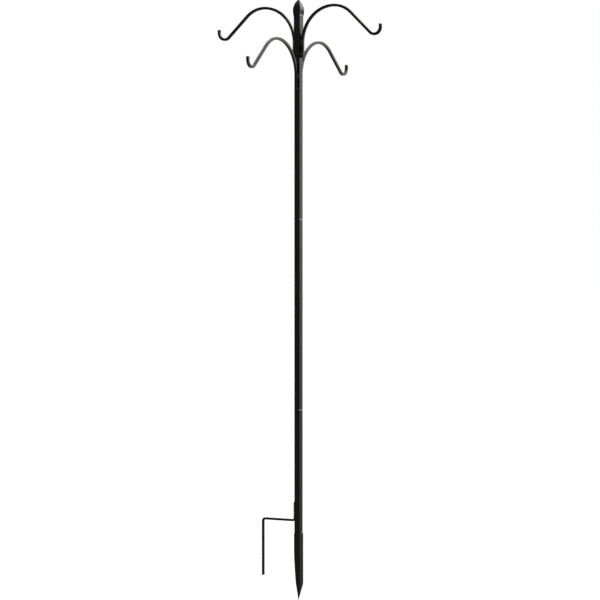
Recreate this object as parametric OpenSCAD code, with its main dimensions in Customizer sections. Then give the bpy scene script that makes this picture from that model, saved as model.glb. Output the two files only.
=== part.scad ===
// Hanging plant stand: a square steel pole in three push-together sections, with a
// lift-off head of two arms, two more arms welded to the top tube, a step-in prong
// and a pressed ground spike.
//
// Millimetres, +Z up. The origin is on the pole's axis at ground level, which is the
// underside of the step prong's cross bar. The upper arms lie along X, the lower arms
// along Y (the front one towards -Y), and the step prong reaches towards -X.

/* [Pole] */
// Side of the square pole tube
pole_side = 22.2; // [20:0.1:26]
// Wall of the pole tube
pole_wall = 1.25; // [1:0.05:1.8]
// Rounding along the pole tube's long edges
pole_edge_r = 1.2; // [0.6:0.1:2]
// Length of the middle tube
middle_tube_len = 678; // [400:1:900]
// Length of the top tube
top_tube_len = 678; // [400:1:900]
// Height of the lowest joint above the ground
lower_joint_h = 399; // [250:1:600]
// Bevel around the end of each tube, which shows as a thin line at each joint
joint_bevel = 0.6; // [0.2:0.1:1]

/* [Push joints] */
// Gap on each side between a tube and what slides in it or over it
slide_gap = 0.35; // [0.2:0.05:0.6]
// Wall of the spigot tube
spigot_wall = 1.5; // [1:0.1:2.5]
// Length of spigot on each side of a joint
spigot_grip = 60; // [30:1:100]
// Bevel around the spigot's top end, which leads it into the next tube
spigot_bevel = 1.6; // [0.5:0.1:3]
// Diameter of the plug weld that holds a spigot
plug_weld_d = 6; // [4:0.5:9]
// Gap around the plug weld in its hole
plug_weld_gap = 0.05; // [0.02:0.01:0.1]
// Depth of the plug weld's centre below the joint
plug_weld_drop = 32; // [15:1:45]

/* [Head] */
// Wall of the head sleeve
sleeve_wall = 1.25; // [1:0.05:2]
// Length of sleeve around the top tube
sleeve_grip = 100; // [60:1:160]
// Length of sleeve above the top tube, which the finial's tang fills
tang_len = 39; // [20:1:60]
// Gap on each side of the finial's tang
tang_gap = 0.1; // [0.05:0.05:0.3]
// Height of the finial above the sleeve
finial_h = 62.8; // [50:0.1:90]
// Widest side of the finial
finial_belly = 31.1; // [28:0.1:40]
// Height of the finial's widest point above the sleeve
finial_belly_h = 23; // [15:0.5:32]
// Height of the straight neck at the foot of the finial
finial_neck_h = 1; // [0.5:0.5:8]
// Side of the small flat on the finial's tip
finial_tip = 2.4; // [1:0.1:5]

/* [Arms] */
// Side of the square bar that the arms are bent from
arm_side = 9.53; // [7:0.01:11]
// Rounding along the edges of this bar and of the step prong's
bar_edge_r = 1.1; // [0.3:0.1:1.5]
// Radius of an arm's arch from its stem to its top, at the middle of the bar
arch_r = 127; // [80:1:180]
// Radius of the arch past its top
brow_r = 106; // [60:1:160]
// Angle below level of an arm's straight slope
slope_angle = 42.8; // [30:0.1:60]
// Length of an arm's straight slope
slope_len = 106; // [60:0.1:150]
// Radius of the hook, at the middle of the bar
hook_r = 24.5; // [14:0.5:35]
// Length of the hook's upright tip
hook_tip_len = 11; // [5:0.5:30]
// Length of an arm's stem below its arch
stem_len = 54; // [40:1:90]
// Drop from the top of the sleeve to the centre of the upper arms' arches
upper_arm_drop = 90; // [70:1:95]
// Drop from the upper arms to the lower arms
lower_arm_drop = 120; // [90:1:250]

/* [Step prong] */
// Side of the square bar that the prong is bent from
prong_side = 7.94; // [6:0.02:10]
// Distance from the pole's axis to the middle of the prong's outer leg
prong_reach = 148.8; // [90:0.1:220]
// Height of the prong's welded leg above the ground
prong_leg_h = 68; // [40:1:120]
// Depth of the prong's outer leg below the ground
prong_depth = 200; // [100:1:260]
// Radius of the prong's bends, at the middle of the bar
prong_bend_r = 9; // [8:0.5:20]

/* [Ground spike] */
// Depth of the spike's rim below the ground
spike_rim_depth = 42; // [20:1:80]
// Length of the spike
spike_len = 237; // [180:1:320]
// Wall of the spike
spike_wall = 1.5; // [1:0.1:2]
// Gap on each side between the pole and the spike
spike_gap = 0.1; // [0.05:0.05:0.3]
// Length of pole inside the spike
spike_grip = 40; // [25:1:60]
// Length over which the spike's pressed side draws in below the pole's end
press_len = 28; // [15:1:40]
// Distance from the axis to the pressed side where the blade starts
blade_back = 8.9; // [6:0.1:10.5]
// Distance from the axis to the pressed side where the point starts
point_back = 3.8; // [3:0.1:5.5]
// Length of the four-sided point
point_len = 57; // [40:1:80]
// Side of the flat on the point's tip
point_tip = 1.6; // [1:0.1:3]

/* [Welds] */
// Leg of a weld bead's section
weld_leg = 3; // [2:0.1:4]
// Length of the bead at the top of a stem
top_bead_len = 16; // [8:1:24]
// Length of the bead at the foot of a stem
foot_bead_len = 12; // [6:1:16]
// Distance from the foot of a welded length to its foot bead
foot_bead_inset = 3; // [0:0.5:8]
// Height of the bead on top of the prong's welded leg
cap_bead_h = 9; // [4:0.5:15]
// Width of the tack that holds the spike's rim
tack_w = 8; // [4:0.5:14]

/* [Hidden] */

PAINT = "#232422";      // black paint
BEAD = "#2b2c2a";       // paint over a weld
BARE = "#8b8d8f";       // bare steel of the hidden spigots

EDGE_STEPS = 4;         // flats in the rounding of a tube's edge
BAR_STEPS = 2;          // flats in the rounding of a bar's edge
CURVE_STEPS = 10;       // straight pieces in one side of the finial or of the spike's blade
BLADE_POWER = 1.7;      // how late the spike's blade curves in: 1 is straight
BEND_RELIEF = 0.02;     // how much slimmer than the straights a bend is on each side
CUT = 1;                // how far a cutting shape runs past the face that it cuts
$fn = 96;

// Heights of the joints and of the pole's ends
upper_joint_h = lower_joint_h + middle_tube_len;
pole_top = upper_joint_h + top_tube_len;
pole_foot = -spike_rim_depth - spike_grip;
sleeve_foot = pole_top - sleeve_grip;
sleeve_top = pole_top + tang_len;
upper_arch_h = sleeve_top - upper_arm_drop;
lower_arch_h = upper_arch_h - lower_arm_drop;

// Heights along the ground spike
spike_tip_h = -spike_rim_depth - spike_len;
point_top_h = spike_tip_h + point_len;
blade_top_h = pole_foot - press_len;

// Sections that slide in and over each other
pole_bore = pole_side - 2 * pole_wall;
spigot_side = pole_bore - 2 * slide_gap;
sleeve_bore = pole_side + 2 * slide_gap;
sleeve_side = sleeve_bore + 2 * sleeve_wall;
spike_bore = pole_side + 2 * spike_gap;
spike_side = spike_bore + 2 * spike_wall;
bore_edge_r = 0.4;      // rounding inside the tubes' corners

// Where the bars' centre lines run beside the pole
arm_on_pole = pole_side / 2 + arm_side / 2;
arm_on_sleeve = sleeve_side / 2 + arm_side / 2;
prong_on_pole = pole_side / 2 + prong_side / 2;

// ---- shared shapes ----

// A square with rounded corners, each drawn in a few flats
module rounded_square(side, r, steps) {
    polygon([
        for (quarter = [0:3], k = [0:steps])
            let (
                middle = 90 * quarter + 45,
                a = 90 * quarter + 90 * k / steps,
                reach = (side / 2 - r) * sqrt(2)
            )
            [reach * cos(middle) + r * cos(a), reach * sin(middle) + r * sin(a)]
    ]);
}

// A block whose four edges at each end are bevelled
module bevelled_block(side, foot, top, foot_bevel, top_bevel) {
    h = side / 2;
    outline = [
        [-h, foot + foot_bevel], [-h + foot_bevel, foot],
        [h - foot_bevel, foot], [h, foot + foot_bevel],
        [h, top - top_bevel], [h - top_bevel, top],
        [-h + top_bevel, top], [-h, top - top_bevel]
    ];
    square_section(side) polygon(outline);
}

// Two upright outlines crossed at right angles: what they share is square at every height
module square_section(side) {
    intersection() {
        rotate([90, 0, 0])
            linear_extrude(side + 2 * CUT, center = true) children(0);
        rotate([90, 0, 90])
            linear_extrude(side + 2 * CUT, center = true) children(0);
    }
}

// A length of square tube with bevelled ends
module square_tube(side, wall, foot, top, foot_bevel, top_bevel) {
    difference() {
        intersection() {
            translate([0, 0, foot])
                linear_extrude(top - foot) rounded_square(side, pole_edge_r, EDGE_STEPS);
            bevelled_block(side, foot, top, foot_bevel, top_bevel);
        }
        translate([0, 0, foot - CUT])
            linear_extrude(top - foot + 2 * CUT)
                rounded_square(side - 2 * wall, bore_edge_r, EDGE_STEPS);
    }
}

// A bar's section, slimmer on each side by the given relief
module bar_section(side, relief = 0) {
    rounded_square(side - 2 * relief, bar_edge_r, BAR_STEPS);
}

// Bars are drawn flat, with X outwards and Y up, and this stands them up
module stood_up() {
    rotate([90, 0, 0]) children();
}

// A straight length of bar down from the origin of the flat drawing
module straight(side, length) {
    rotate([90, 0, 0]) linear_extrude(length) bar_section(side);
}

// A bend of bar around the origin of the flat drawing, anticlockwise from the X axis
module bend(side, radius, sweep, relief = BEND_RELIEF) {
    rotate_extrude(angle = sweep) translate([radius, 0]) bar_section(side, relief);
}

// ---- pole ----

// A pole tube, with the hole for a plug weld in its back wall if a spigot is held in it
module pole_tube(foot, top, foot_bevel, holds_spigot) {
    color(PAINT)
        difference() {
            square_tube(pole_side, pole_wall, foot, top, foot_bevel, joint_bevel);
            if (holds_spigot)
                weld_plug(top, plug_weld_d, pole_bore / 2 - CUT / 2, pole_side / 2 + CUT);
        }
}

// A round plug through the tube's back wall below the joint at the given height
module weld_plug(joint_h, diameter, inner, outer) {
    translate([0, inner, joint_h - plug_weld_drop])
        rotate([-90, 0, 0]) cylinder(d = diameter, h = outer - inner);
}

// The spigot in the joint at the given height
module spigot(joint_h) {
    color(BARE)
        square_tube(spigot_side, spigot_wall, joint_h - spigot_grip, joint_h + spigot_grip,
                    0, spigot_bevel);
}

// The plug weld that holds the spigot of the joint at the given height
module plug_weld(joint_h) {
    color(BEAD)
        weld_plug(joint_h, plug_weld_d - 2 * plug_weld_gap, spigot_side / 2, pole_side / 2);
}

module bottom_tube() pole_tube(pole_foot, lower_joint_h, 0, true);
module middle_tube() pole_tube(lower_joint_h, upper_joint_h, joint_bevel, true);
module top_tube() pole_tube(upper_joint_h, pole_top, joint_bevel, false);
module bottom_spigot() spigot(lower_joint_h);
module middle_spigot() spigot(upper_joint_h);
module bottom_plug_weld() plug_weld(lower_joint_h);
module middle_plug_weld() plug_weld(upper_joint_h);

// ---- head ----

module head_sleeve() {
    color(PAINT)
        square_tube(sleeve_side, sleeve_wall, sleeve_foot, sleeve_top, joint_bevel, 0);
}

// Half the finial's side and the height at a share of the way from its neck to its widest
// point, or from there to its tip. Both flanks are upright at the widest point.
function lower_flank(t) =
    let (run = finial_belly_h - finial_neck_h, rise = (finial_belly - sleeve_side) / 2)
    [finial_belly / 2 - rise * (1 - t) * (1 - t), finial_neck_h + run * t];
function upper_flank(t) =
    let (
        run = finial_h - finial_belly_h,
        rise = (finial_belly - finial_tip) / 2,
        r = (run * run + rise * rise) / (2 * rise)
    )
    [finial_belly / 2 - r + sqrt(r * r - run * run * t * t), finial_belly_h + run * t];

// A four-sided ogive on a tang that fills the top of the sleeve
module finial() {
    flank = concat(
        [[sleeve_side / 2, 0]],
        [for (k = [0:CURVE_STEPS - 1]) lower_flank(k / CURVE_STEPS)],
        [for (k = [0:CURVE_STEPS]) upper_flank(k / CURVE_STEPS)]
    );
    last = len(flank) - 1;
    outline = concat(flank, [for (k = [last:-1:0]) [-flank[k].x, flank[k].y]]);
    tang_side = sleeve_bore - 2 * tang_gap;
    color(PAINT)
        union() {
            translate([0, 0, sleeve_top]) square_section(finial_belly) polygon(outline);
            translate([0, 0, pole_top])
                linear_extrude(tang_len) rounded_square(tang_side, bore_edge_r + tang_gap, EDGE_STEPS);
        }
}

// ---- arms ----

// One arm along +X: stem, arch, brow, slope, hook and upright tip. Its stem is upright at
// x = 0 and its arch's centre is at z = 0. Each length starts in the frame where the last one
// ends, and the brow is slimmer than the arch, whose end face then holds the brow's.
module arm_bar() {
    stood_up()
        union() {
            straight(arm_side, stem_len);
            translate([arch_r, 0]) rotate([0, 0, 90]) {
                bend(arm_side, arch_r, 90);
                translate([arch_r - brow_r, 0]) rotate([0, 0, -slope_angle]) {
                    bend(arm_side, brow_r, slope_angle, 2 * BEND_RELIEF);
                    translate([brow_r, 0]) slope_and_hook();
                }
            }
        }
}

// The far part of an arm, with its slope drawn straight down from the origin
module slope_and_hook() {
    turn = 90 + slope_angle;
    straight(arm_side, slope_len);
    translate([hook_r, -slope_len]) rotate([0, 0, 180]) {
        bend(arm_side, hook_r, turn);
        rotate([0, 0, turn])
            translate([hook_r, hook_tip_len]) straight(arm_side, hook_tip_len);
    }
}

// Places an arm or its welds: the stem's distance from the axis, the arch's height and
// the way that the arm points
module on_pole(stem_at, arch_h, facing) {
    rotate([0, 0, facing]) translate([stem_at, 0, arch_h]) children();
}

// A quarter-round bead in each corner between the sides of a bar and the face behind it
module bead_pair(side, foot, length) {
    for (flip = [0, 1])
        mirror([0, flip, 0])
            translate([-side / 2, side / 2, foot])
                rotate_extrude(angle = 90) square([weld_leg, length]);
}

// The four beads of one arm, where its stem lies on a face that reaches down to face_foot
module arm_beads(face_foot) {
    bead_pair(arm_side, -top_bead_len / 2, top_bead_len);
    bead_pair(arm_side, max(-stem_len, face_foot) + foot_bead_inset, foot_bead_len);
}

module upper_arm_right() color(PAINT) on_pole(arm_on_sleeve, upper_arch_h, 0) arm_bar();
module upper_arm_left() color(PAINT) on_pole(arm_on_sleeve, upper_arch_h, 180) arm_bar();
module lower_arm_front() color(PAINT) on_pole(arm_on_pole, lower_arch_h, -90) arm_bar();
module lower_arm_back() color(PAINT) on_pole(arm_on_pole, lower_arch_h, 90) arm_bar();

module upper_arm_welds() {
    color(BEAD)
        for (facing = [0, 180])
            on_pole(arm_on_sleeve, upper_arch_h, facing) arm_beads(sleeve_foot - upper_arch_h);
}

module lower_arm_welds() {
    color(BEAD)
        for (facing = [-90, 90])
            on_pole(arm_on_pole, lower_arch_h, facing) arm_beads(-stem_len);
}

// ---- foot ----

// The prong points along +X here: a welded leg, a cross bar to step on and an outer leg
module prong_bar() {
    level = prong_side / 2;
    inner_turn = [prong_on_pole + prong_bend_r, level + prong_bend_r];
    outer_turn = [prong_reach - prong_bend_r, level - prong_bend_r];
    stood_up()
        union() {
            translate([prong_on_pole, prong_leg_h])
                straight(prong_side, prong_leg_h - inner_turn.y);
            translate(inner_turn) rotate([0, 0, 180]) bend(prong_side, prong_bend_r, 90);
            translate([inner_turn.x, level])
                rotate([0, 0, 90]) straight(prong_side, outer_turn.x - inner_turn.x);
            translate(outer_turn) bend(prong_side, prong_bend_r, 90);
            translate([prong_reach, outer_turn.y])
                straight(prong_side, outer_turn.y + prong_depth);
        }
}

module step_prong() {
    color(PAINT) rotate([0, 0, 180]) prong_bar();
}

// Two beads beside the prong's welded leg and a sloping one on top of it
module prong_welds() {
    foot = prong_side + prong_bend_r;
    color(BEAD)
        rotate([0, 0, 180]) {
            translate([prong_on_pole, 0, 0])
                bead_pair(prong_side, foot, prong_leg_h - foot - foot_bead_inset);
            translate([pole_side / 2, 0, prong_leg_h])
                rotate([90, 0, 0])
                    linear_extrude(prong_side - 2 * bar_edge_r, center = true)
                        polygon([[0, 0], [prong_side - bar_edge_r, 0], [0, cap_bead_h]]);
        }
}

// Heights of the spike's open top and of its tip, drawn in by the given wall
function spike_open(wall) = -spike_rim_depth + (wall > 0 ? CUT : 0);
function spike_end(wall) = spike_tip_h + wall * point_len / (spike_side / 2);
function half_tip(wall) = max(point_tip / 2 - wall, 0.1);

// The spike's outline from the side, drawn in by the given wall. The pressed side is towards -X.
module spike_side_outline(wall) {
    h = spike_side / 2 - wall;
    blade = [
        for (k = [0:CURVE_STEPS])
            let (t = k / CURVE_STEPS)
            [
                wall - blade_back + (blade_back - point_back) * pow(t, BLADE_POWER),
                blade_top_h + (point_top_h - blade_top_h) * t
            ]
    ];
    polygon(concat(
        [[h, spike_open(wall)], [-h, spike_open(wall)], [-h, pole_foot]],
        blade,
        [[-half_tip(wall), spike_end(wall)], [half_tip(wall), spike_end(wall)], [h, point_top_h]]
    ));
}

// The spike's outline from the front, drawn in by the given wall
module spike_front_outline(wall) {
    h = spike_side / 2 - wall;
    polygon([
        [h, spike_open(wall)], [-h, spike_open(wall)], [-h, point_top_h],
        [-half_tip(wall), spike_end(wall)], [half_tip(wall), spike_end(wall)], [h, point_top_h]
    ]);
}

// The spike's form, drawn in by the given wall
module spike_form(wall, edge_r) {
    side = spike_side - 2 * wall;
    intersection() {
        rotate([90, 0, 0]) linear_extrude(side + 2 * CUT, center = true) spike_side_outline(wall);
        rotate([90, 0, 90]) linear_extrude(side + 2 * CUT, center = true) spike_front_outline(wall);
        translate([0, 0, spike_tip_h - CUT])
            linear_extrude(spike_len + 3 * CUT) rounded_square(side, edge_r, EDGE_STEPS);
    }
}

// A tube over the pole's end, with one side pressed in below it and the end drawn to a point
module ground_spike() {
    color(PAINT)
        difference() {
            spike_form(0, pole_edge_r);
            spike_form(spike_wall, bore_edge_r);
        }
}

// A tack weld on the spike's rim, on the sides of the step prong and opposite it
module spike_tacks() {
    step = (spike_side - pole_side) / 2;
    color(BEAD)
        for (facing = [0, 180])
            rotate([0, 0, facing])
                translate([pole_side / 2, 0, -spike_rim_depth])
                    rotate([90, 0, 0])
                        linear_extrude(tack_w, center = true)
                            polygon([[0, 0], [step, 0], [0, weld_leg]]);
}

bottom_tube();
bottom_spigot();
bottom_plug_weld();
ground_spike();
spike_tacks();
step_prong();
prong_welds();
middle_tube();
middle_spigot();
middle_plug_weld();
top_tube();
lower_arm_front();
lower_arm_back();
lower_arm_welds();
head_sleeve();
finial();
upper_arm_right();
upper_arm_left();
upper_arm_welds();
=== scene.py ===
"""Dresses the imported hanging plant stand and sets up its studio.

The pole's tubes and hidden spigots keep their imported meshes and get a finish. The bent
bars, the weld beads, the hammered sleeve, the finial and the ground spike are built again
here, because their rounding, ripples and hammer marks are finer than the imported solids.
Sizes are millimetres, except in the studio, where they are metres.
"""

from __future__ import annotations

import logging
import math
from collections.abc import Iterable, Sequence
from dataclasses import dataclass, field
from enum import Enum
from functools import cache
from typing import Any

import bmesh
import bpy
from bpy.types import ID, Material, Mesh, Node, NodeSocket, NodeTree, Object, bpy_prop_collection
from mathutils import Matrix, Vector, noise

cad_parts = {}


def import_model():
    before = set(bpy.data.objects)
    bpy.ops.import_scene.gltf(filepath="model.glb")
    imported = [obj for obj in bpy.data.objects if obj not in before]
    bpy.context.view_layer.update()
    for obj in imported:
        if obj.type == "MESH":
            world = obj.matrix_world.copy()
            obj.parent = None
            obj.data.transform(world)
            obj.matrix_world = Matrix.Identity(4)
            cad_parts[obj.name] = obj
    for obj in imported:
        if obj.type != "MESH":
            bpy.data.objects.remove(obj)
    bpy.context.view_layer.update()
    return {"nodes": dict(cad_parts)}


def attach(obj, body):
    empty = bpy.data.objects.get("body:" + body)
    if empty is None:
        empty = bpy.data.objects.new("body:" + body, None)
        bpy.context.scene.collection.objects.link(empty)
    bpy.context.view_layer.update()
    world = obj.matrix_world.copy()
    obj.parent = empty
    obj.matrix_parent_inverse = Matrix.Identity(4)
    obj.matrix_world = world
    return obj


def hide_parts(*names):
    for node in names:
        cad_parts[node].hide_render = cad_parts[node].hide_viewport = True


LOG = logging.getLogger("plant_stand")
MM = 0.001
MATH = "ShaderNodeMath"
VECTOR_MATH = "ShaderNodeVectorMath"
MAP_RANGE = "ShaderNodeMapRange"
NOISE = "ShaderNodeTexNoise"
Point = tuple[float, float, float]
Flat = tuple[float, float]
Ring = list[Point]

# Sizes that several pieces share: how far a face of the pole, and of the 1 in tubes that
# slide over it, lies from the axis, and the heights of the head's sleeve
POLE_FACE = 11.1
SLEEVE_FACE = 12.7
SLEEVE_FOOT = 1655.0
SLEEVE_TOP = 1794.0


class Facing(Enum):
    """The way that an arm, a prong or a weld's face points, in degrees about +Z."""

    RIGHT = 0
    BACK = 90
    LEFT = 180
    FRONT = 270

    @property
    def turn(self) -> Matrix:
        """The rotation that takes +X to this way."""
        return Matrix.Rotation(math.radians(self.value), 4, "Z")


# ---- nodes and meshes that every piece uses ----


def srgb(code: str) -> tuple[float, float, float, float]:
    """Turns an sRGB hex value into linear red, green, blue and a full alpha.

    Args:
        code: Six hex digits after a hash.

    Returns:
        The linear colour, as shader sockets take it.
    """
    shares = [int(code[i : i + 2], 16) / 255 for i in (1, 3, 5)]
    linear = [c / 12.92 if c <= 0.04045 else ((c + 0.055) / 1.055) ** 2.4 for c in shares]
    return (*linear, 1.0)


def add_node(tree: NodeTree, kind: str, feeds: dict[str | int, Any] | None = None, **settings: Any) -> Node:
    """Adds a node with its settings, its input values and its links.

    Args:
        tree: The tree that gets the node.
        kind: The node's type name.
        feeds: What each input gets, by its name or number: a value, an output socket, or a
            node, which stands for its first output.
        **settings: The node's own properties.

    Returns:
        The new node.
    """
    node = tree.nodes.new(kind)
    for name, value in settings.items():
        setattr(node, name, value)
    for key, value in (feeds or {}).items():
        source = value.outputs[0] if isinstance(value, Node) else value
        if isinstance(source, NodeSocket):
            tree.links.new(source, node.inputs[key])
        else:
            node.inputs[key].default_value = source
    return node


def start_material(name: str) -> tuple[Material, NodeTree, NodeSocket]:
    """Starts an empty material, and gives it, its tree and its Object coordinates."""
    material = bpy.data.materials.new(name)
    material.use_nodes = True
    material.node_tree.nodes.clear()
    place = add_node(material.node_tree, "ShaderNodeTexCoord").outputs["Object"]
    return material, material.node_tree, place


def link_object(name: str, data: ID) -> Object:
    """Puts a mesh, a camera or a lamp into the scene, as an object at the origin."""
    made = bpy.data.objects.new(name, data)
    bpy.context.scene.collection.objects.link(made)
    return made


def mesh_from(
    name: str, points: Iterable[Sequence[float]], faces: Iterable[Sequence[int]] = (),
    edges: Iterable[Sequence[int]] = (),
) -> Mesh:
    """Makes a mesh from points, in metres, and their faces or edges."""
    mesh = bpy.data.meshes.new(name)
    mesh.from_pydata([tuple(p) for p in points], list(edges), list(faces))
    mesh.update()
    return mesh


def start_geometry_tree(name: str, sockets: dict[str, str]) -> tuple[NodeTree, bpy_prop_collection]:
    """Starts a Geometry Nodes tree that takes and gives geometry.

    Args:
        name: The tree's name.
        sockets: The kind of each named input, such as Float.

    Returns:
        The tree, and its inputs as the sockets that other nodes take them from.
    """
    tree = bpy.data.node_groups.new(name, "GeometryNodeTree")
    for title, kind in {"Geometry": "Geometry", **sockets}.items():
        tree.interface.new_socket(title, in_out="INPUT", socket_type=f"NodeSocket{kind}")
    tree.interface.new_socket("Geometry", in_out="OUTPUT", socket_type="NodeSocketGeometry")
    return tree, tree.nodes.new("NodeGroupInput").outputs


def end_geometry_tree(tree: NodeTree, shape: Node, finish: NodeSocket) -> None:
    """Ends a tree: its geometry is made real and gets the material that an input holds."""
    real = add_node(tree, "GeometryNodeRealizeInstances", {"Geometry": shape})
    painted = add_node(tree, "GeometryNodeSetMaterial", {"Geometry": real, "Material": finish})
    add_node(tree, "NodeGroupOutput", {0: painted})


def run_tree(tree: NodeTree, start: Mesh, values: dict[str, Any]) -> Mesh:
    """Runs a Geometry Nodes tree on a mesh and keeps what it makes as a plain mesh.

    Args:
        tree: The tree.
        start: The mesh that goes in.
        values: A value for each named input.

    Returns:
        The finished mesh, with its materials.
    """
    holder = link_object("holder", start)
    modifier = holder.modifiers.new("build", "NODES")
    modifier.node_group = tree
    for item in tree.interface.items_tree:
        if item.in_out == "INPUT" and item.name in values:
            modifier[item.identifier] = values[item.name]
    graph = bpy.context.evaluated_depsgraph_get()
    made = bpy.data.meshes.new_from_object(
        holder.evaluated_get(graph), preserve_all_data_layers=True, depsgraph=graph
    )
    holder.modifiers.remove(modifier)
    bpy.data.objects.remove(holder)
    return made


def joined(name: str, meshes: Sequence[Mesh], finish: Material) -> Object:
    """Joins meshes into one smooth-shaded object whose flats stay flat.

    Args:
        name: The object's name.
        meshes: The meshes, all in the row frame.
        finish: The material of the whole object.

    Returns:
        The object, at the origin.
    """
    whole = bmesh.new()
    for mesh in meshes:
        whole.from_mesh(mesh)
        bpy.data.meshes.remove(mesh)
    bmesh.ops.recalc_face_normals(whole, faces=whole.faces)
    for face in whole.faces:
        face.smooth = True
        face.material_index = 0
    mesh = bpy.data.meshes.new(name)
    whole.to_mesh(mesh)
    whole.free()
    mesh.materials.append(finish)
    made = link_object(name, mesh)
    made.modifiers.new("flats", "WEIGHTED_NORMAL").keep_sharp = True
    return made


def loft(name: str, rings: Sequence[Ring], looped: bool = False) -> Mesh:
    """Skins a stack of rings that have the same number of points.

    Args:
        name: The mesh's name.
        rings: The rings, in order.
        looped: Whether the last ring joins the first, as in a tube with walls. If not,
            both ends are closed with a face.

    Returns:
        The mesh.
    """
    size = len(rings[0])
    points = [point for ring in rings for point in ring]
    faces: list[tuple[int, ...]] = []
    for k in range(len(rings) if looped else len(rings) - 1):
        low, high = k * size, (k + 1) % len(rings) * size
        for i in range(size):
            j = (i + 1) % size
            faces.append((low + i, low + j, high + j, high + i))
    if not looped:
        faces.append(tuple(reversed(range(size))))
        faces.append(tuple(range((len(rings) - 1) * size, len(rings) * size)))
    return mesh_from(name, points, faces)


def steps(start: float, end: float, spacing: float) -> list[float]:
    """Evenly spaced values from start to end, both included, about spacing apart."""
    count = max(1, round(abs(end - start) / spacing))
    return [start + (end - start) * k / count for k in range(count + 1)]


def arc(centre: Flat, radius: float, start: float, end: float, step: float) -> list[Flat]:
    """Points on an arc in a flat drawing, about step degrees apart, without its first point."""
    turns = [math.radians(angle) for angle in steps(start, end, step)[1:]]
    return [(centre[0] + radius * math.cos(a), centre[1] + radius * math.sin(a)) for a in turns]


def square_ring(
    height: float, reach: float, radius: float, back: float | None = None, along: int = 12,
    around: int = 5,
) -> Ring:
    """One level ring of a rounded square, or of one whose -X side is pressed in.

    Args:
        height: The ring's Z.
        reach: How far its sides lie from the axis.
        radius: The rounding of its corners.
        back: How far its -X side lies from the axis, if that is less.
        along: Steps along each flat side.
        around: Steps around each corner.

    Returns:
        The ring's points, in metres.
    """
    right = reach - radius
    left = radius - (reach if back is None else back)
    arcs: list[list[Flat]] = []
    for quarter, (x, y) in enumerate(((right, right), (left, right), (left, -right), (right, -right))):
        turns = [math.radians(90 * quarter + 90 * k / around) for k in range(around + 1)]
        arcs.append([(x + radius * math.cos(a), y + radius * math.sin(a)) for a in turns])
    ring: Ring = []
    for corner, following in zip(arcs, arcs[1:] + arcs[:1]):
        (x0, y0), (x1, y1) = corner[-1], following[0]
        side = [(x0 + (x1 - x0) * k / along, y0 + (y1 - y0) * k / along) for k in range(1, along)]
        ring += [(x * MM, y * MM, height * MM) for x, y in corner + side]
    return ring


# ---- finishes ----


@dataclass(frozen=True)
class SprayedEnamel:
    """Black enamel, sprayed on steel and left to flow.

    It gives the eye a near-black body colour under a soft, even sheen, with an orange peel
    of shallow waves and slow changes of gloss where the coat is thicker.
    """

    name: str
    body: str = "#1b1b19"
    sheen_low: float = 0.31
    sheen_high: float = 0.41
    ior: float = 1.5
    peel_mm: float = 2.6
    peel_height_mm: float = 0.015
    cloud_mm: float = 70.0

    def build(self) -> Material:
        """Makes the material."""
        material, tree, place = start_material(self.name)
        clouds = add_node(
            tree, NOISE,
            {"Vector": place, "Scale": 1 / (self.cloud_mm * MM), "Detail": 3.0, "Roughness": 0.6},
        )
        sheen = add_node(
            tree, MAP_RANGE,
            {"Value": clouds, "From Min": 0.3, "From Max": 0.7, "To Min": self.sheen_low,
             "To Max": self.sheen_high},
        )
        peel = add_node(
            tree, NOISE,
            {"Vector": place, "Scale": 1 / (self.peel_mm * MM), "Detail": 1.0, "Roughness": 0.4},
        )
        relief = add_node(
            tree, "ShaderNodeBump",
            {"Strength": 1.0, "Distance": self.peel_height_mm * MM, "Height": peel},
        )
        shader = add_node(
            tree, "ShaderNodeBsdfPrincipled",
            {"Base Color": srgb(self.body), "Roughness": sheen, "IOR": self.ior, "Normal": relief},
        )
        self.add_wear_and_glint(tree, place, shader)
        add_node(tree, "ShaderNodeOutputMaterial", {"Surface": shader})
        return material

    def add_wear_and_glint(self, tree: NodeTree, place: NodeSocket, shader: Node) -> None:
        """Leaves the coat whole."""


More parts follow.
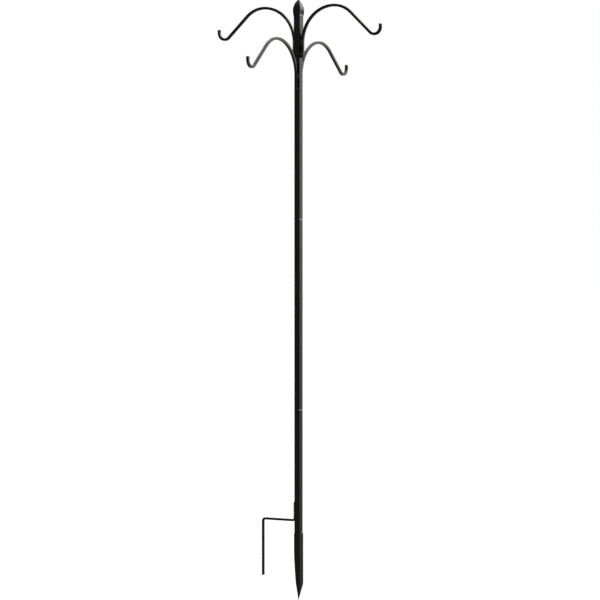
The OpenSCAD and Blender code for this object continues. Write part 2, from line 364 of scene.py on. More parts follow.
@dataclass(frozen=True)
class RubbedEnamelAndPaintedGlint(SprayedEnamel):
    """The same enamel on a tube, rubbed to bare steel on the rims that meet at a joint.

    Close to a joint it gives the eye a thin bright ring, broken where some paint is left.
    The steel is bared only towards the lit +X side, so the ring is partly rubbed wear and
    partly a painted glint, where the joint's edge catches the light.
    """

    steel: str = "#b9bbb7"
    joints_mm: Flat = (399.0, 1077.0)
    ring_mm: float = 1.3
    bare_ring_mm: float = 0.78
    # The steel is bared only towards +X, where the light falls, as a painted glint
    glint_side_from_mm: float = 3.0
    glint_side_to_mm: float = 7.0
    patch_mm: float = 6.0
    painted_patch: float = 0.2
    bare_patch: float = 0.34

    def add_wear_and_glint(self, tree: NodeTree, place: NodeSocket, shader: Node) -> None:
        """Bares the steel in a ring on each side of each joint, only towards the lit +X side: rubbed wear
        and a painted glint.

        Args:
            tree: The material's tree.
            place: The Object coordinates.
            shader: The enamel's shader, which gets the steel's colour and metalness there.
        """
        across, _, height = add_node(tree, "ShaderNodeSeparateXYZ", {0: place}).outputs
        gaps = []
        for joint in self.joints_mm:
            offset = add_node(tree, MATH, {0: height, 1: joint * MM}, operation="SUBTRACT")
            gaps.append(add_node(tree, MATH, {0: offset}, operation="ABSOLUTE"))
        gap = add_node(tree, MATH, dict(enumerate(gaps)), operation="MINIMUM")
        patches = add_node(tree, NOISE, {"Vector": place, "Scale": 1 / (self.patch_mm * MM), "Detail": 2.0})
        # The steel shows where the ring, the lit +X side and a bare patch meet: rubbed steel, kept to that
        # side as a painted glint
        bare_steel_and_glint: Any = 1.0
        for value, painted_at, bare_at in (
            (gap, self.ring_mm * MM, self.bare_ring_mm * MM),
            (across, self.glint_side_from_mm * MM, self.glint_side_to_mm * MM),
            (patches, self.painted_patch, self.bare_patch),
        ):
            share = add_node(tree, MAP_RANGE, {"Value": value, "From Min": painted_at, "From Max": bare_at})
            bare_steel_and_glint = add_node(tree, MATH, {0: bare_steel_and_glint, 1: share}, operation="MULTIPLY")
        colour = add_node(
            tree, "ShaderNodeMix", {0: bare_steel_and_glint, 6: srgb(self.body), 7: srgb(self.steel)},
            data_type="RGBA",
        )
        tree.links.new(colour.outputs[2], shader.inputs["Base Color"])
        tree.links.new(bare_steel_and_glint.outputs[0], shader.inputs["Metallic"])


@dataclass(frozen=True)
class MillSteel:
    """Drawn steel tube as it leaves the mill, thinly oiled.

    It gives the eye a soft blue-grey metal with fine lines along the draw and darker
    streaks where the oil has dried.
    """

    name: str
    dull: str = "#5f6264"
    bright: str = "#8d9092"
    dull_to: float = 0.35
    bright_from: float = 0.62
    roughness: float = 0.34
    line_mm: float = 0.5
    line_depth_mm: float = 0.01
    draw_mm: float = 40.0

    def build(self) -> Material:
        """Makes the material."""
        material, tree, place = start_material(self.name)
        fine, drawn = 1 / (self.line_mm * MM), 1 / (self.draw_mm * MM)
        along = add_node(tree, "ShaderNodeMapping", {"Vector": place, "Scale": (fine, fine, drawn)})
        lines = add_node(tree, NOISE, {"Vector": along, "Scale": 1.0, "Detail": 2.0})
        ramp = add_node(tree, "ShaderNodeValToRGB", {"Fac": lines})
        stops = ((self.dull_to, self.dull), (self.bright_from, self.bright))
        for stop, (share, colour) in zip(ramp.color_ramp.elements, stops):
            stop.position, stop.color = share, srgb(colour)
        bump = add_node(
            tree, "ShaderNodeBump",
            {"Strength": 1.0, "Distance": self.line_depth_mm * MM, "Height": lines},
        )
        shader = add_node(
            tree, "ShaderNodeBsdfPrincipled",
            {"Base Color": ramp, "Metallic": 1.0, "Roughness": self.roughness, "Normal": bump},
        )
        add_node(tree, "ShaderNodeOutputMaterial", {"Surface": shader})
        return material


@dataclass(frozen=True)
class Finishes:
    """The stand's five finishes, made once."""

    tube: Material = field(default_factory=RubbedEnamelAndPaintedGlint("sprayed_enamel_on_tube").build)
    bar: Material = field(
        default_factory=SprayedEnamel("sprayed_enamel_on_bar", sheen_low=0.28, sheen_high=0.38).build
    )
    hammered: Material = field(
        default_factory=SprayedEnamel(
            "sprayed_enamel_on_hammered_steel", sheen_low=0.3, sheen_high=0.44, peel_mm=3.4,
            peel_height_mm=0.03, cloud_mm=18.0,
        ).build
    )
    # The weld's enamel is a lighter grey than the bars' as a painted highlight, for the glints that the
    # beads catch from the front
    weld: Material = field(
        default_factory=SprayedEnamel(
            "weld_enamel_with_painted_highlight", body="#74746e", sheen_low=0.34, sheen_high=0.5,
            peel_mm=0.9, peel_height_mm=0.02, cloud_mm=6.0,
        ).build
    )
    steel: Material = field(default_factory=MillSteel("mill_steel").build)


# ---- bars ----


@dataclass(frozen=True)
class SquareBar:
    """Square steel bar that is bent along a line, with rounded edges and eased ends."""

    side: float
    edge_radius: float = 1.1
    end_bevel: float = 0.6

    @staticmethod
    @cache
    def tree() -> NodeTree:
        """The Geometry Nodes tree that runs the bar's section along a line of edges."""
        tree, take = start_geometry_tree(
            "bar_along_line",
            {"Side": "Float", "Edge Radius": "Float", "End Scale": "Float", "Flat Side": "Vector",
             "Finish": "Material"},
        )
        line = add_node(tree, "GeometryNodeMeshToCurve", {"Mesh": take["Geometry"]})
        faced = add_node(
            tree, "GeometryNodeSetCurveNormal", {"Curve": line, "Normal": take["Flat Side"]},
            mode="FREE",
        )
        square = add_node(
            tree, "GeometryNodeCurvePrimitiveQuadrilateral",
            {"Width": take["Side"], "Height": take["Side"]},
        )
        section = add_node(
            tree, "GeometryNodeFilletCurve",
            {"Curve": square, "Count": 4, "Radius": take["Edge Radius"]}, mode="POLY",
        )
        ends = add_node(tree, "GeometryNodeCurveEndpointSelection", {"Start Size": 1, "End Size": 1})
        scale = add_node(
            tree, "GeometryNodeSwitch", {"Switch": ends, "False": 1.0, "True": take["End Scale"]},
            input_type="FLOAT",
        )
        swept = add_node(
            tree, "GeometryNodeCurveToMesh",
            {"Curve": faced, "Profile Curve": section, "Scale": scale, "Fill Caps": True},
        )
        end_geometry_tree(tree, swept, take["Finish"])
        return tree

    def sweep(self, line: Sequence[Flat], place: Matrix, finish: Material) -> Mesh:
        """Bends a bar along a flat line.

        Args:
            line: Points out from the pole and up.
            place: Takes a point (out, 0, up), in metres, to the row frame.
            finish: The bar's material.

        Returns:
            The bar's mesh, in the row frame.
        """
        first, last = self._inwards(line[0], line[1]), self._inwards(line[-1], line[-2])
        eased = [line[0], first, *line[1:-1], last, line[-1]]
        points = [place @ Vector((out * MM, 0, up * MM)) for out, up in eased]
        start = mesh_from("line", points, edges=[(i, i + 1) for i in range(len(points) - 1)])
        return run_tree(
            self.tree(), start,
            {"Side": self.side * MM, "Edge Radius": self.edge_radius * MM,
             "End Scale": 1 - 2 * self.end_bevel / self.side,
             "Flat Side": tuple(place.to_3x3() @ Vector((0, 1, 0))), "Finish": finish},
        )

    def _inwards(self, end: Flat, inner: Flat) -> Flat:
        """The point where the end's bevel starts, on the way from the end to the next point."""
        length = math.dist(end, inner)
        return tuple(a + (b - a) * self.end_bevel / length for a, b in zip(end, inner))


@dataclass
class HookArm:
    """One arm: a stem, an arch that is tighter past its top, a slope, a hook and a tip."""

    bar: SquareBar = field(default_factory=lambda: SquareBar(9.53))
    stem: float = 54.0
    arch_radius: float = 127.0
    brow_radius: float = 106.0
    slope_angle: float = 42.8
    slope: float = 106.0
    hook_radius: float = 24.5
    tip: float = 11.0
    arch_step: float = 2.0
    hook_step: float = 5.0

    def line(self) -> list[Flat]:
        """The arm's centre line, from the stem's foot to the tip, with the arch's centre at 0 up."""
        angle = math.radians(self.slope_angle)
        cos, sin = math.cos(angle), math.sin(angle)
        line = [(0.0, -self.stem), (0.0, 0.0)]
        line += arc((self.arch_radius, 0), self.arch_radius, 180, 90, self.arch_step)
        brow = (self.arch_radius, self.arch_radius - self.brow_radius)
        line += arc(brow, self.brow_radius, 90, 90 - self.slope_angle, self.arch_step)
        foot = (line[-1][0] + self.slope * cos, line[-1][1] - self.slope * sin)
        hook = (foot[0] + self.hook_radius * sin, foot[1] + self.hook_radius * cos)
        line.append(foot)
        line += arc(hook, self.hook_radius, 270 - self.slope_angle, 360, self.hook_step)
        line.append((line[-1][0], line[-1][1] + self.tip))
        return line


# ---- welds ----


@dataclass(frozen=True)
class WeldBead:
    """A fillet weld in a corner: overlapping ripples that bow towards the way it was run.

    It climbs the bar's side further than it spreads over the pole's face. The ripple depth
    and the end size are shares of the leg, and the taper's length is counted in legs.
    """

    leg: float = 3.4
    climb: float = 2.4
    ripple: float = 1.7
    ripple_depth: float = 0.16
    ripple_crest: float = 0.4
    rings_per_ripple: int = 7
    least_ripple: float = 0.9
    bow: float = 0.9
    taper: float = 0.9
    end_size: float = 0.45
    side_seed: int = 7

    @staticmethod
    @cache
    def tree() -> NodeTree:
        """The Geometry Nodes tree that makes one bead up +Z, in the corner of +X and +Y."""
        sizes = ("Length", "Leg", "Ripple", "Rings", "Groove", "Crest", "Least", "Lag", "Taper",
                 "End Size", "Seed")
        tree, take = start_geometry_tree(
            "rippled_bead", {**dict.fromkeys(sizes, "Float"), "Finish": "Material"}
        )
        top = add_node(tree, "ShaderNodeCombineXYZ", {"Z": take["Length"]})
        run = add_node(tree, "GeometryNodeCurvePrimitiveLine", {"End": top})
        fine = add_node(tree, MATH, {0: take["Ripple"], 1: take["Rings"]}, operation="DIVIDE")
        cut = add_node(tree, "GeometryNodeResampleCurve", {"Curve": run, "Length": fine}, mode="LENGTH")
        faced = add_node(
            tree, "GeometryNodeSetCurveNormal", {"Curve": cut, "Normal": (1, 0, 0)}, mode="FREE"
        )
        fan = add_node(
            tree, "GeometryNodeCurveArc",
            {"Resolution": 9, "Radius": take["Leg"], "Start Angle": 0.0, "Sweep Angle": math.pi / 2,
             "Connect Center": True}, mode="RADIUS",
        )
        swept = add_node(
            tree, "GeometryNodeCurveToMesh",
            {"Curve": faced, "Profile Curve": fan, "Fill Caps": True},
        )
        place = add_node(tree, "GeometryNodeInputPosition")
        x, y, z = add_node(tree, "ShaderNodeSeparateXYZ", {0: place}).outputs

        at: dict[Any, Any] = {"x": x, "y": y, "z": z} | {title: take[title] for title in sizes}
        # Each row names a Math node, its operation and what goes into it
        for title, operation, *given in (
            # A ripple lags behind its sides the further its point lies out in the bead's face
            ("xx", "MULTIPLY", "x", "x"),
            ("yy", "MULTIPLY", "y", "y"),
            ("square", "ADD", "xx", "yy"),
            ("reach", "SQRT", "square"),
            ("most", "MULTIPLY", "reach", "Leg"),
            ("xy", "MULTIPLY", "x", "y"),
            ("product", "ABSOLUTE", "xy"),
            ("out", "DIVIDE", "product", "most"),
            ("lag", "MULTIPLY", "out", "Lag"),
            ("led", "SUBTRACT", "z", "lag"),
            ("count", "DIVIDE", "led", "Ripple"),
            # Each is highest at its crest and falls off to both sides. 50 keeps counts over 0
            ("ahead", "ADD", "count", 50.0),
            ("share", "FRACT", "ahead"),
            ("off", "SUBTRACT", "share", "Crest"),
            ("fall", "MULTIPLY", "off", "off"),
            ("groove", "MULTIPLY", "fall", "Groove"),
            ("ripple", "SUBTRACT", 1.0, "groove"),
            # No two are the same size, and the bead's two ends taper
            ("number", "FLOOR", "count"),
            ("drawn", "ADD", "number", "Seed"),
            ("above", "SUBTRACT", "Length", "z"),
            ("left", "MINIMUM", "z", "above"),
        ):
            feeds = {k: at.get(name, name) for k, name in enumerate(given)}
            at[title] = add_node(tree, MATH, feeds, operation=operation)
        random = add_node(tree, "ShaderNodeTexWhiteNoise", {"W": at["drawn"]}, noise_dimensions="1D")
        wander = add_node(tree, MAP_RANGE, {"Value": random, "To Min": 1.0, "To Max": take["Least"]})
        ends = {"From Max": take["Taper"], "To Min": take["End Size"], "To Max": 1.0}
        taper = add_node(tree, MAP_RANGE, {"Value": at["left"], **ends}, interpolation_type="SMOOTHSTEP")
        size = at["ripple"]
        for share in (wander, taper):
            size = add_node(tree, MATH, {0: size, 1: share}, operation="MULTIPLY")
        scale = add_node(tree, "ShaderNodeCombineXYZ", {"X": size, "Y": size, "Z": 1.0})
        moved = add_node(tree, VECTOR_MATH, {0: place, 1: scale}, operation="MULTIPLY")
        shaped = add_node(tree, "GeometryNodeSetPosition", {"Geometry": swept, "Position": moved})
        end_geometry_tree(tree, shaped, take["Finish"])
        return tree

    def pair(
        self, facing: Facing, bar: SquareBar, stem_at: float, foot: float, length: float, seed: int,
        finish: Material,
    ) -> list[Mesh]:
        """Makes the two beads beside an upright bar that lies against a face.

        Args:
            facing: The way that the face looks.
            bar: The bar.
            stem_at: The bar's distance from the pole's axis.
            foot: The height of the beads' feet.
            length: Their length.
            seed: Sets their ripples.
            finish: Their material.

        Returns:
            The two meshes.
        """
        values = {
            "Length": length * MM, "Leg": self.leg * MM, "Ripple": self.ripple * MM,
            "Rings": float(self.rings_per_ripple), "Crest": self.ripple_crest,
            # Half a ripple from its crest, the bead has shrunk by the whole ripple depth
            "Groove": self.ripple_depth / 0.5**2, "Least": self.least_ripple,
            "Lag": 2 * self.bow * MM, "Taper": self.taper * self.leg * MM,
            "End Size": self.end_size, "Finish": finish,
        }
        climbed = Matrix.Diagonal((self.climb, 1, 1, 1))
        made = []
        for side, spin, drawn in ((1, 0, seed + self.side_seed), (-1, -90, seed)):
            start = mesh_from("start", [(0, 0, 0)])
            bead = run_tree(self.tree(), start, {**values, "Seed": float(drawn)})
            corner = ((stem_at - bar.side / 2) * MM, side * bar.side / 2 * MM, foot * MM)
            turned = Matrix.Rotation(math.radians(spin), 4, "Z")
            bead.transform(facing.turn @ Matrix.Translation(corner) @ climbed @ turned)
            made.append(bead)
        return made


@dataclass(frozen=True)
class CapBead:
    """The rippled bead that slopes from the top of a bar up to the face behind it."""

    height: float = 9.0
    crown: float = 0.75
    ripples: int = 5
    ripple_depth: float = 0.25
    lift: float = 0.15
    lean: Flat = (0.72, 0.66)
    narrowing: float = 0.55
    root_depth: float = 0.2
    root_share: float = 0.2
    rows: int = 22
    columns: int = 10

    def build(self, bar: SquareBar, face: float, top: float) -> Mesh:
        """Makes the bead on a bar that lies against a face which looks towards +X.

        Args:
            bar: The bar.
            face: The face's distance from the axis.
            top: The height of the bar's top.

        Returns:
            The bead's mesh.
        """
        half, depth = bar.side / 2 - bar.edge_radius, bar.side - bar.edge_radius
        turns = steps(0, math.pi, math.pi / self.columns)
        rings: list[Ring] = []
        for share in steps(0, 1, 1 / self.rows):
            out, up = depth * (1 - share), top + self.height * share
            across = half * math.sqrt(1 - self.narrowing * (2 * share - 1) ** 2)
            ripple = self.ripple_depth * abs(math.sin(math.pi * self.ripples * share))
            ring: Ring = []
            for a in turns:
                swell = self.lift + (self.crown + ripple) * math.sin(a)
                x, z = face + out + swell * self.lean[0], up + swell * self.lean[1]
                ring.append((x, across * math.cos(a), z))
            root, low = face + out * self.root_share, top - self.root_depth
            ring += [(root, -across, low), (root, across, low)]
            rings.append([(x * MM, y * MM, z * MM) for x, y, z in ring])
        return loft("cap", rings)


# ---- sub-assemblies ----


@dataclass
class ArmPair:
    """Two arms that point opposite ways, welded by their stems to two faces."""

    facings: tuple[Facing, Facing]
    nodes: tuple[str, str]
    weld_node: str
    body: str
    face: float
    arch_height: float
    lowest_weld: float
    arm: HookArm = field(default_factory=HookArm)
    bead: WeldBead = field(default_factory=WeldBead)
    top_bead: float = 16.0
    foot_bead: float = 12.0
    foot_inset: float = 3.0
    foot_seed: int = 10
    arm_seed: int = 20

    def build(self, finishes: Finishes) -> list[Object]:
        """Makes the arms and their beads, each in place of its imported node."""
        made, beads = [], []
        bar, stem_at = self.arm.bar, self.face + self.arm.bar.side / 2
        top = self.arch_height - self.top_bead / 2
        foot = max(self.arch_height - self.arm.stem, self.lowest_weld) + self.foot_inset
        for number, (facing, node) in enumerate(zip(self.facings, self.nodes)):
            place = facing.turn @ Matrix.Translation((stem_at * MM, 0, self.arch_height * MM))
            mesh = bar.sweep(self.arm.line(), place, finishes.bar)
            arm = joined(f"{node}_bar", [mesh], finishes.bar)
            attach(arm, self.body)
            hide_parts(node)
            made.append(arm)
            seed = self.arm_seed * number
            for height, length, drawn in (
                (top, self.top_bead, seed), (foot, self.foot_bead, seed + self.foot_seed),
            ):
                beads += self.bead.pair(facing, bar, stem_at, height, length, drawn, finishes.weld)
        welds = joined(f"{self.weld_node}_beads", beads, finishes.weld)
        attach(welds, self.body)
        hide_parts(self.weld_node)
        return [*made, welds]


@dataclass(frozen=True)
class HammerMarks:
    """Shallow, round hammer marks between two heights, where they fade out.

    Their reach is a share of their spacing. Nearer the axis than inside, there are none.
    """

    low: float
    high: float
    low_fade: float
    high_fade: float
    spacing: float = 8.5
    depth: float = 0.32
    reach: float = 0.75
    inside: float = 0.0

    def press(self, mesh: Mesh) -> None:
        """Presses the marks into a mesh, inwards along its normals.

        Args:
            mesh: The mesh, changed in place.
        """
        normals = [Vector(n.vector) for n in mesh.vertex_normals]
        for vertex, normal in zip(mesh.vertices, normals):
            out, up = max(abs(vertex.co.x), abs(vertex.co.y)) / MM, vertex.co.z / MM
            share = min(1.0, (up - self.low) / self.low_fade, (self.high - up) / self.high_fade)
            if share > 0 and out >= self.inside:
                near = noise.voronoi(vertex.co / (self.spacing * MM))[0][0]
                dent = max(0.0, 1 - (near / self.reach) ** 2)
                vertex.co -= normal * self.depth * MM * share * dent
        mesh.update()


@dataclass
class Sleeve:
    """The head's square sleeve, hammered all over its outside."""

    foot: float = SLEEVE_FOOT
    top: float = SLEEVE_TOP
    face: float = SLEEVE_FACE
    bore_face: float = 11.45
    edge_radius: float = 1.2
    foot_radius: float = 0.72
    foot_bevel: float = 0.6
    top_bevel: float = 0.15
    bore_radius: float = 0.4
    ring_spacing: float = 1.0
    bore_step: float = 8.0
    bore_spacing: float = 40.0
    marks: HammerMarks = HammerMarks(low=1657.0, high=1792.0, low_fade=4.0, high_fade=4.0, inside=12.0)

    def build(self, finishes: Finishes) -> Object:
        """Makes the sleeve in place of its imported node."""
        wall = steps(self.foot + self.foot_bevel, self.top - self.top_bevel, self.ring_spacing)
        bore = [self.top, *steps(self.top - self.bore_step, self.foot, self.bore_spacing)]
        outline = [
            (self.foot, self.face - self.foot_bevel, self.foot_radius),
            *((height, self.face, self.edge_radius) for height in wall),
            (self.top, self.face - self.top_bevel, self.edge_radius),
            *((height, self.bore_face, self.bore_radius) for height in bore),
        ]
        rings = [square_ring(*level, along=24) for level in outline]
        mesh = loft("sleeve", rings, looped=True)
        self.marks.press(mesh)
        made = joined("hammered_sleeve", [mesh], finishes.hammered)
        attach(made, "head")
        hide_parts("head_sleeve")
        return made


@dataclass
class Finial:
    """The cast finial: a four-sided ogive on a tang, with hollowed, hammered flanks.

    Its own heights are counted from the sleeve's top, apart from the tang's foot.
    """

    foot: float = SLEEVE_TOP
    tang_foot: float = 1755.0
    tang_face: float = 11.35
    tang_radius: float = 0.5
    neck: float = SLEEVE_FACE
    neck_radius: float = 1.3
    neck_bevel: float = 0.2
    neck_foot: float = 0.05
    neck_height: float = 1.0
    belly: float = 15.55
    belly_height: float = 23.0
    tip: float = 1.2
    tip_height: float = 62.8
    edge_low: float = 1.2
    edge_high: float = 2.6
    edge_growth: float = 0.06
    edge_share: float = 0.6
    first_ring: float = 0.5
    ring_spacing: float = 0.9
    dish_foot: float = 1.0
    dish_low: float = 11.0
    dish_top: float = 25.0
    dish_depth: float = 2.6
    marks: HammerMarks = HammerMarks(
        low=1795.0, high=1856.8, low_fade=3.0, high_fade=9.0, spacing=8.925, depth=0.512
    )

    def flank(self, height: float) -> float:
        """How far the ogive's flanks lie from the axis at a height above the sleeve."""
        if height <= self.belly_height:
            share = max(0.0, (height - self.neck_height) / (self.belly_height - self.neck_height))
            return self.belly - (self.belly - self.neck) * (1 - share) ** 2
        run, rise = self.tip_height - self.belly_height, self.belly - self.tip
        radius = (run * run + rise * rise) / (2 * rise)
        return self.belly - radius + math.sqrt(radius**2 - (height - self.belly_height) ** 2)

    def dish(self, mesh: Mesh) -> None:
        """Hollows each of the four flanks under its widest point, between the edges.

        Args:
            mesh: The finial's mesh, changed in place.
        """
        for vertex in mesh.vertices:
            height = vertex.co.z / MM - self.foot
            if not self.dish_foot < height < self.dish_top:
                continue
            end = self.dish_top if height > self.dish_low else self.dish_foot
            share = (end - height) / (end - self.dish_low)
            out, across = (0, 1) if abs(vertex.co.x) > abs(vertex.co.y) else (1, 0)
            fade = 1 - (abs(vertex.co[across]) / (self.flank(height) * MM)) ** 4
            inward = self.dish_depth * MM * share * share * (3 - 2 * share) * max(0.0, fade)
            vertex.co[out] -= math.copysign(inward, vertex.co[out])

    def build(self, finishes: Finishes) -> Object:
        """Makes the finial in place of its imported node."""
        outline = [
            (self.tang_foot, self.tang_face, self.tang_radius),
            (self.foot - self.neck_bevel, self.tang_face, self.tang_radius),
            (self.foot + self.neck_foot, self.neck - self.neck_bevel, self.neck_radius),
        ]
        for height in steps(self.first_ring, self.tip_height, self.ring_spacing):
            reach, grown = self.flank(height), self.edge_low + self.edge_growth * height
            radius = min(self.edge_high, grown, self.edge_share * reach)
            outline.append((self.foot + height, reach, radius))
        rings = [square_ring(*level, along=24, around=6) for level in outline]
        mesh = loft("finial", rings)
        self.dish(mesh)
        self.marks.press(mesh)
        made = joined("hammered_finial", [mesh], finishes.hammered)
        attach(made, "head")
        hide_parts("finial")
        return made


@dataclass
class Head:
    """The lift-off head: a hammered sleeve, a cast finial and the two upper arms."""

    sleeve: Sleeve = field(default_factory=Sleeve)
    finial: Finial = field(default_factory=Finial)
    arms: ArmPair = field(
        default_factory=lambda: ArmPair(
            facings=(Facing.RIGHT, Facing.LEFT), nodes=("upper_arm_right", "upper_arm_left"),
            weld_node="upper_arm_welds", body="head", face=SLEEVE_FACE, arch_height=1704.0,
            lowest_weld=SLEEVE_FOOT,
        )
    )

    def build(self, finishes: Finishes) -> list[Object]:
        """Makes the whole head."""
        return [self.sleeve.build(finishes), self.finial.build(finishes), *self.arms.build(finishes)]


@dataclass
class PoleTubes:
    """The three pole tubes and the spigots and plug welds that join them, all as packed."""

    tubes: tuple[str, ...] = ("bottom_tube", "middle_tube", "top_tube")
    spigots: tuple[str, ...] = ("bottom_spigot", "middle_spigot")
    plugs: tuple[str, ...] = ("bottom_plug_weld", "middle_plug_weld")

    def dress(self, nodes: dict[str, Object], finishes: Finishes) -> None:
        """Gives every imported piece, by its node's name, its finish."""
        dressed = ((self.tubes, finishes.tube), (self.spigots, finishes.steel), (self.plugs, finishes.weld))
        for names, finish in dressed:
            for name in names:
                for slot in nodes[name].material_slots:
                    slot.material = finish
                LOG.info("dressed %s in %s", name, finish.name)


@dataclass
class StepProng:
    """The step-in prong: one bar with two bends, and the welds that hold its leg."""

    bar: SquareBar = field(default_factory=lambda: SquareBar(7.94))
    bead: WeldBead = field(default_factory=lambda: WeldBead(climb=1.8))
    cap: CapBead = field(default_factory=CapBead)
    face: float = POLE_FACE
    reach: float = 148.8
    leg: float = 68.0
    depth: float = 200.0
    bend: float = 9.0
    bend_step: float = 7.5
    inset: float = 3.0
    seed: int = 60

    def line(self) -> list[Flat]:
        """The prong's centre line, from the top of its welded leg to its point in the soil."""
        near, level, bend = self.face + self.bar.side / 2, self.bar.side / 2, self.bend
        line = [(near, self.leg), (near, level + bend)]
        line += arc((near + bend, level + bend), bend, 180, 270, self.bend_step)
        line.append((self.reach - bend, level))
        line += arc((self.reach - bend, level - bend), bend, 90, 0, self.bend_step)
        return [*line, (self.reach, -self.depth)]

    def build(self, finishes: Finishes) -> list[Object]:
        """Makes the prong and its welds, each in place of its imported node."""
        turn = Facing.LEFT.turn
        mesh = self.bar.sweep(self.line(), turn, finishes.bar)
        bar = joined("step_prong_bar", [mesh], finishes.bar)
        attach(bar, "bottom_section")
        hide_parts("step_prong")
        stem_at, foot = self.face + self.bar.side / 2, self.bar.side + self.bend
        beads = self.bead.pair(
            Facing.LEFT, self.bar, stem_at, foot, self.leg - foot - self.inset, self.seed,
            finishes.weld,
        )
        cap = self.cap.build(self.bar, self.face, self.leg)
        cap.transform(turn)
        welds = joined("prong_weld_beads", [*beads, cap], finishes.weld)
        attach(welds, "bottom_section")
        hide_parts("prong_welds")
        return [bar, welds]


@dataclass
class GroundSpike:
    """The spike: a square sleeve with one side pressed in and its end drawn to a point.

    A tack weld holds it to the pole on two sides. The tack's size is half its extent out,
    across and up, and its back is a share of the first.
    """

    rim: float = -42.0
    pole_foot: float = -82.0
    point_top: float = -222.0
    tip: float = -279.0
    face: float = SLEEVE_FACE
    bore_face: float = 11.2
    rim_back: float = 12.0
    point_back: float = 3.8
    tip_face: float = 0.8
    press_power: float = 1.9
    edge_radius: float = 1.2
    edge_share: float = 0.4
    rim_bevel: float = 0.3
    bore_radius: float = 0.4
    bore_spare: float = 2.0
    shoulder: float = 2.0
    ring_spacing: float = 3.0
    tack_at: Flat = (POLE_FACE, 1.1)
    tack_size: Point = (1.75, 4.0, 1.86)
    tack_back: float = -0.02
    tack_lump: float = 0.08
    tack_lumps: float = 2.2

    def sides(self, height: float) -> Flat:
        """How far the three full sides and the pressed one lie from the axis at a height."""
        pressed = (self.pole_foot - height) / (self.pole_foot - self.point_top)
        drawn = max(0.0, (self.point_top - height) / (self.point_top - self.tip))
        share = min(1.0, max(0.0, pressed)) ** self.press_power
        back = self.rim_back + (self.point_back - self.rim_back) * share
        return tuple(side + (self.tip_face - side) * drawn for side in (self.face, back))

    def build(self, finishes: Finishes) -> list[Object]:
        """Makes the spike and its tack welds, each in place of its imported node."""
        bevel = self.rim_bevel
        rings = [
            square_ring(self.pole_foot - self.bore_spare, self.bore_face, self.bore_radius),
            square_ring(self.rim, self.bore_face, self.bore_radius),
            square_ring(self.rim, self.face - bevel, self.edge_radius, self.rim_back - bevel),
        ]
        heights = steps(self.rim - bevel, self.point_top, self.ring_spacing)
        heights += steps(self.point_top - self.shoulder, self.tip, self.ring_spacing)
        for height in heights:
            reach, back = self.sides(height)
            radius = min(self.edge_radius, self.edge_share * reach)
            rings.append(square_ring(height, reach, radius, back))
        mesh = loft("spike", rings)
        spike = joined("pressed_spike", [mesh], finishes.bar)
        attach(spike, "bottom_section")
        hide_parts("ground_spike")
        return [spike, self.tacks(finishes)]

    def tacks(self, finishes: Finishes) -> Object:
        """Makes the two small blobs of weld between the spike's rim and the pole."""
        out, across, up = self.tack_size
        at = Matrix.Translation((self.tack_at[0] * MM, 0, (self.rim + self.tack_at[1]) * MM))
        meshes = []
        for facing in (Facing.RIGHT, Facing.LEFT):
            blob = bmesh.new()
            bmesh.ops.create_icosphere(blob, subdivisions=4, radius=1.0)
            for vertex in blob.verts:
                x, y, z = vertex.co
                near = vertex.co * self.tack_lumps + Vector((facing.value, 0, 0))
                lump = (1 + self.tack_lump * noise.noise(near)) * MM
                vertex.co = Vector((max(x, self.tack_back) * out, y * across, z * up)) * lump
            mesh = bpy.data.meshes.new("tack")
            blob.to_mesh(mesh)
            blob.free()
            mesh.transform(facing.turn @ at)
            meshes.append(mesh)
        made = joined("spike_tack_welds", meshes, finishes.weld)
        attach(made, "bottom_section")
        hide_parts("spike_tacks")
        return made


# ---- studio ----


@dataclass(frozen=True)
class Lamp:
    """A soft lamp that faces the pole. Its way is the direction from the pole to it.

    Its aim is the height on the pole that it faces, and its power is in watts.
    """

    name: str
    way: Point
    distance: float
    size: Flat
    power: float
    colour: str
    aim: float

    def hang(self) -> None:
        """Puts the lamp into the scene, where the camera doesn't see it."""
        data = bpy.data.lights.new(self.name, "AREA")
        data.shape = "RECTANGLE"
        data.size, data.size_y = self.size
        data.energy, data.color = self.power, srgb(self.colour)[:3]
        lamp = link_object(self.name, data)
        aim = Vector((0, 0, self.aim))
        lamp.location = aim + Vector(self.way).normalized() * self.distance
        lamp.rotation_mode = "QUATERNION"
        lamp.rotation_quaternion = (aim - lamp.location).to_track_quat("-Z", "Y")
        lamp.visible_camera = False


LAMPS = (
    # The wall of light behind and to the right is what the pole's right face mirrors: the
    # face darkens downwards, where it mirrors what lies under the wall's lower edge
    Lamp("right_softbox", (0.58, 0.80, 0.34), 10.0, (7.2, 8.4), 182.0, "#f9ffe8", 1.1),
    # This one whitens what looks up and away: the slopes' tops and the finial's right side
    Lamp("back_softbox", (0.2, 0.85, 0.42), 3.6, (2.8, 1.8), 52.0, "#fdffee", 1.6),
    Lamp("top_softbox", (-0.45, 0.16, 0.88), 3.2, (1.8, 1.8), 16.0, "#fffef9", 1.0),
    Lamp("cool_window", (-0.55, 0.42, 0.72), 3.0, (0.5, 0.7), 2.5, "#c9d2ff", 1.6),
)


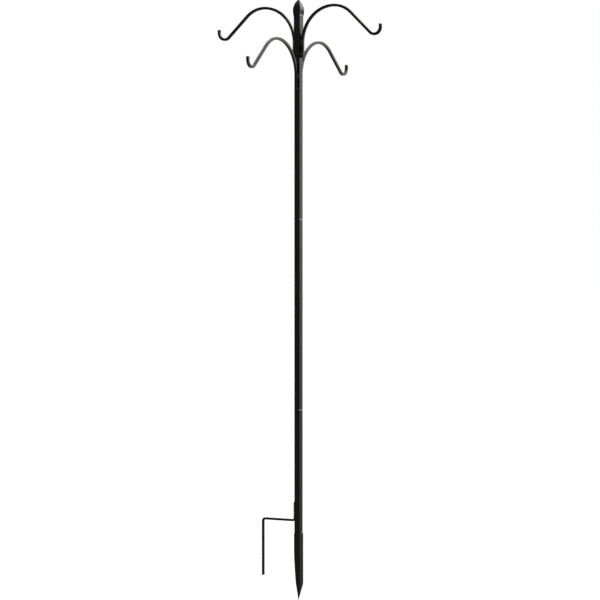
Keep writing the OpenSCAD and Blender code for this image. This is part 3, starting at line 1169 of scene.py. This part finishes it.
@dataclass
class Studio:
    """A pale floor, a white surround, soft lamps and the photograph's camera.

    The azimuth is in degrees round from looking along +Y. The surround's and the floor's
    glows are what a mirror sees of them, in front of the pole and behind it.
    """

    azimuth: float = 31.6
    distance: float = 10.3
    eye_height: float = 1.074
    aim_height: float = 0.790
    aim_right: float = 0.0053
    lens_mm: float = 173.8
    sensor_mm: float = 36.0
    view_end: float = 200.0
    surround_glow: Flat = (0.13, 1.0)
    surround_from: Flat = (-0.25, 0.75)
    floor_height: float = -0.2795
    floor_size: float = 60.0
    floor_colour: str = "#8a8a89"
    floor_lift: float = 0.94
    floor_glow: Flat = (0.02, 0.3)
    floor_from: Flat = (0.0, 4.0)

    @property
    def away(self) -> Vector:
        """The level direction in which the camera looks."""
        a = math.radians(self.azimuth)
        return Vector((-math.sin(a), math.cos(a), 0))

    def build(self) -> None:
        """Sets up everything round the object."""
        bpy.context.scene.view_settings.view_transform = "Standard"
        self.camera()
        self.surround()
        self.floor()
        for lamp in LAMPS:
            lamp.hang()

    def camera(self) -> None:
        """Sets up the photograph's long lens, at the pole's middle height."""
        data = bpy.data.cameras.new("photo_camera")
        data.lens, data.sensor_width, data.clip_end = self.lens_mm, self.sensor_mm, self.view_end
        camera = link_object("photo_camera", data)
        right = Vector((self.away.y, -self.away.x, 0))
        camera.location = Vector((0, 0, self.eye_height)) - self.away * self.distance
        aim = right * self.aim_right + Vector((0, 0, self.aim_height))
        camera.rotation_mode = "QUATERNION"
        camera.rotation_quaternion = (aim - camera.location).to_track_quat("-Z", "Y")
        bpy.context.scene.camera = camera

    def glow(self, tree: NodeTree, place: NodeSocket, reach: Flat, strength: Flat) -> Node:
        """Adds a glow that changes from the first reach and strength in front to the second behind."""
        behind = add_node(tree, VECTOR_MATH, {0: place, 1: tuple(self.away)}, operation="DOT_PRODUCT")
        return add_node(
            tree, MAP_RANGE,
            {"Value": behind.outputs["Value"], "From Min": reach[0], "From Max": reach[1],
             "To Min": strength[0], "To Max": strength[1]},
            interpolation_type="SMOOTHSTEP",
        )

    def surround(self) -> None:
        """Makes a world that is white to the eye, and to mirrors bright behind and dim in front."""
        world = bpy.data.worlds.new("studio_surround")
        world.use_nodes = True
        tree = world.node_tree
        tree.nodes.clear()
        way = add_node(tree, "ShaderNodeTexCoord").outputs["Generated"]
        strength = self.glow(tree, way, self.surround_from, self.surround_glow)
        path = add_node(tree, "ShaderNodeLightPath").outputs
        for ray in ("Is Camera Ray", "Is Transmission Ray"):
            strength = add_node(tree, MATH, {0: strength, 1: path[ray]}, operation="MAXIMUM")
        white = {"Color": (1, 1, 1, 1), "Strength": strength}
        background = add_node(tree, "ShaderNodeBackground", white)
        add_node(tree, "ShaderNodeOutputWorld", {"Surface": background})
        bpy.context.scene.world = world

    def floor(self) -> None:
        """Makes a matt, pale floor that keeps a soft shadow and reads as white."""
        half, z = self.floor_size / 2, self.floor_height
        edge = [(-half, -half, z), (half, -half, z), (half, half, z), (-half, half, z)]
        mesh = mesh_from("floor", edge, [(0, 1, 2, 3)])
        material, tree, place = start_material("matt_pale_floor")
        path = add_node(tree, "ShaderNodeLightPath").outputs
        mirrored = self.glow(tree, place, self.floor_from, self.floor_glow)
        seen = {0: path["Is Camera Ray"], 1: self.floor_lift}
        shown = add_node(tree, MATH, seen, operation="MULTIPLY")
        rays = {0: path["Is Glossy Ray"], 1: path["Is Transmission Ray"]}
        mirrors = add_node(tree, MATH, rays, operation="ADD")
        parts = {0: mirrored, 1: mirrors, 2: shown}
        lift = add_node(tree, MATH, parts, operation="MULTIPLY_ADD")
        matt = add_node(tree, "ShaderNodeBsdfDiffuse", {"Color": srgb(self.floor_colour)})
        glow = add_node(tree, "ShaderNodeEmission", {"Color": (1, 1, 1, 1), "Strength": lift})
        both = add_node(tree, "ShaderNodeAddShader", {0: matt, 1: glow})
        add_node(tree, "ShaderNodeOutputMaterial", {"Surface": both})
        mesh.materials.append(material)
        link_object("studio_floor", mesh)


def main() -> None:
    """Builds the stand's sub-assemblies in order and reports each piece."""
    logging.basicConfig(level=logging.INFO, format="%(name)s: %(message)s")
    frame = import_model()
    Studio().build()
    finishes = Finishes()
    PoleTubes().dress(frame["nodes"], finishes)
    lower_arms = ArmPair(
        facings=(Facing.FRONT, Facing.BACK), nodes=("lower_arm_front", "lower_arm_back"),
        weld_node="lower_arm_welds", body="top_section", face=POLE_FACE, arch_height=1584.0,
        lowest_weld=1500.0,
    )
    for assembly in (Head(), lower_arms, StepProng(), GroundSpike()):
        for piece in assembly.build(finishes):
            LOG.info("built %s with %d faces", piece.name, len(piece.data.polygons))


if __name__ == "__main__":
    main()
